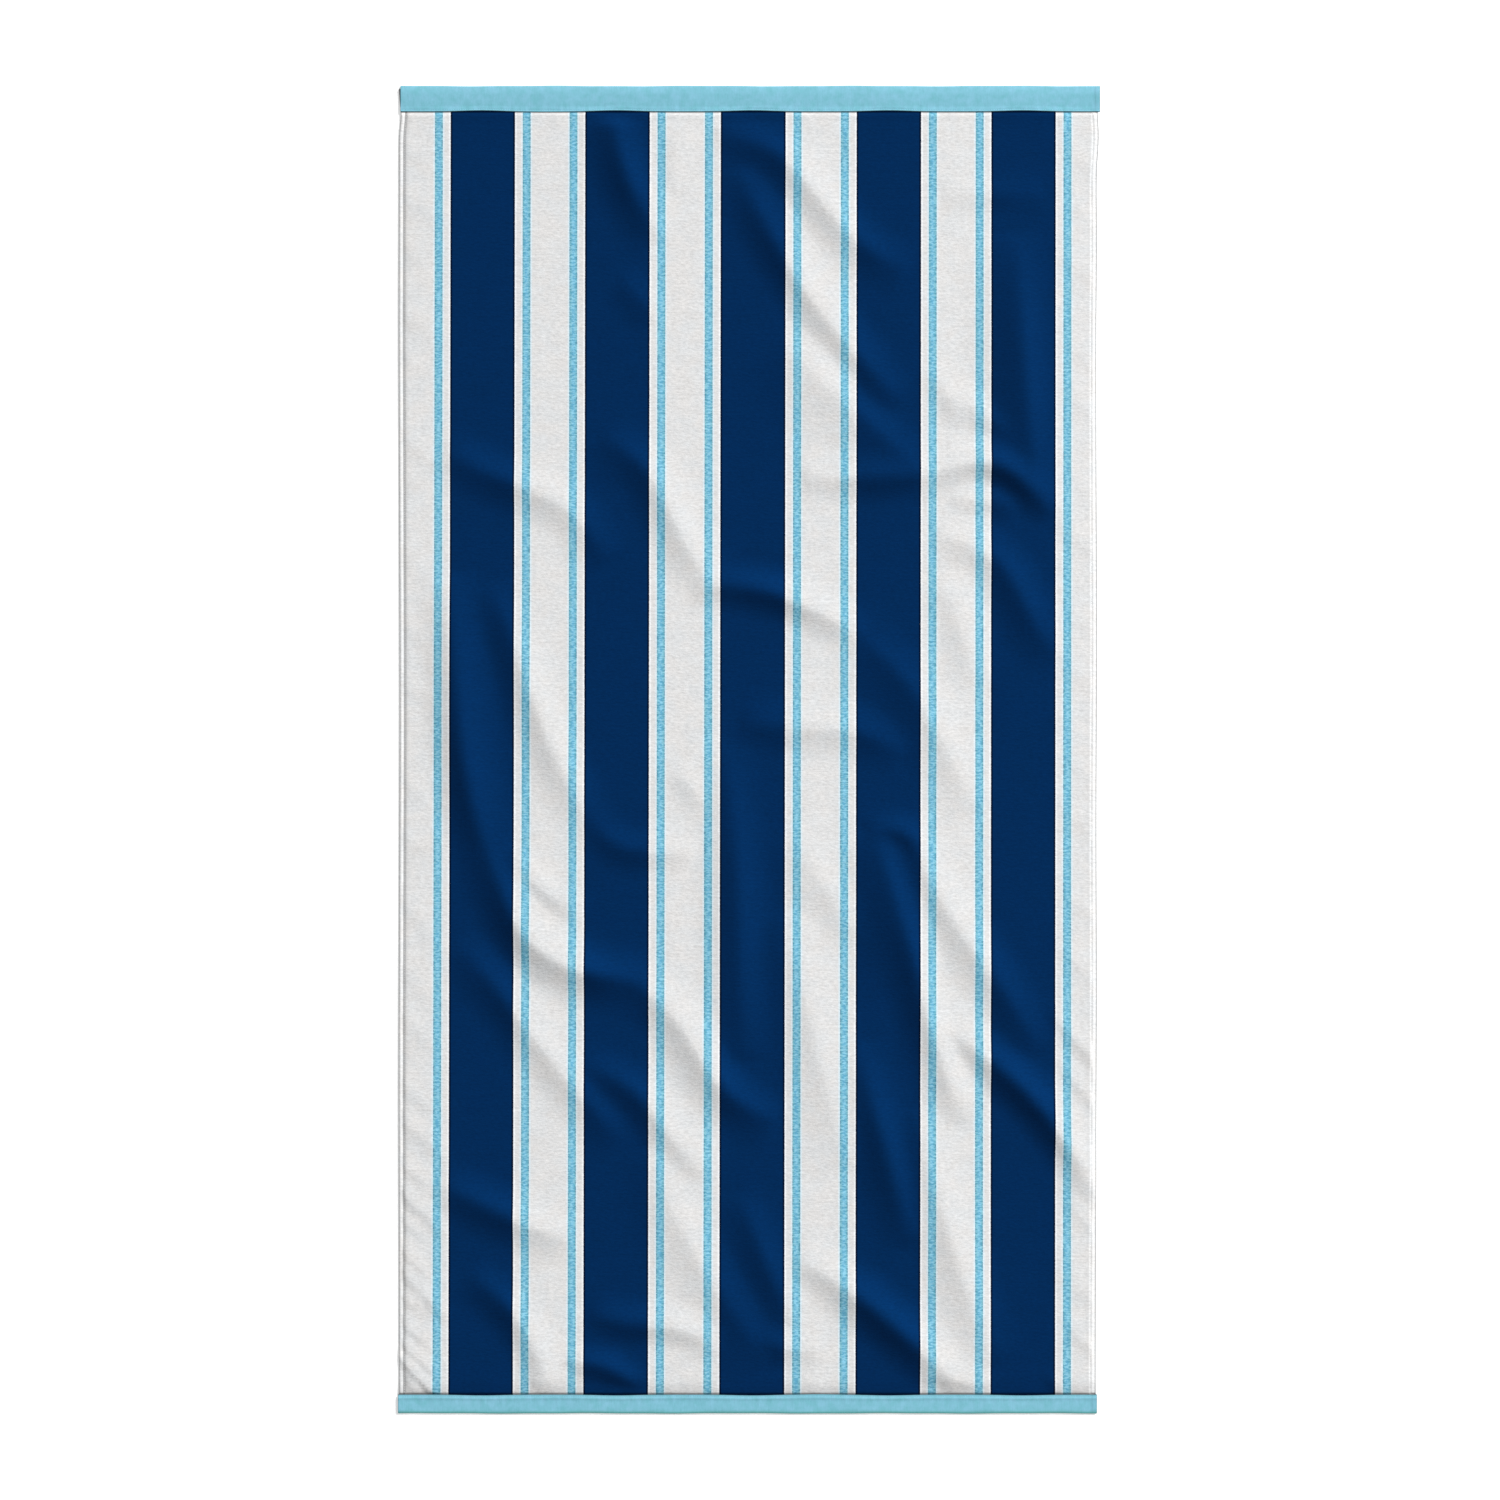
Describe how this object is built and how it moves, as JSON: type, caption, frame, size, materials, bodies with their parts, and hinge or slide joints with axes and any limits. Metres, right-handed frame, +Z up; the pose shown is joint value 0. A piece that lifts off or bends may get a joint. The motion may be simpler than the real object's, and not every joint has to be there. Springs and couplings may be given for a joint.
{
  "type": "beach towel",
  "caption": "Striped terry beach towel laid out face up in soft creases, with hemmed long sides and a light blue tape bound over each end.",
  "frame": {"origin": "on the surface the towel lies on, under the middle of its outline", "axes": "+X across the towel, +Y along it towards the wide binding, +Z up out of the face with the pile"},
  "size_m": [0.9, 1.7, 0.0144],
  "materials": {
    "terry": "short cut-pile cotton with woven navy stripes and narrow light blue lines on off-white",
    "tape": "plain-woven light blue cotton tape, folded and stitched"
  },
  "bodies": {
    "root": {"towel_cloth": "terry", "binding_top": "tape", "binding_bottom": "tape"}
  },
  "joints": []
}
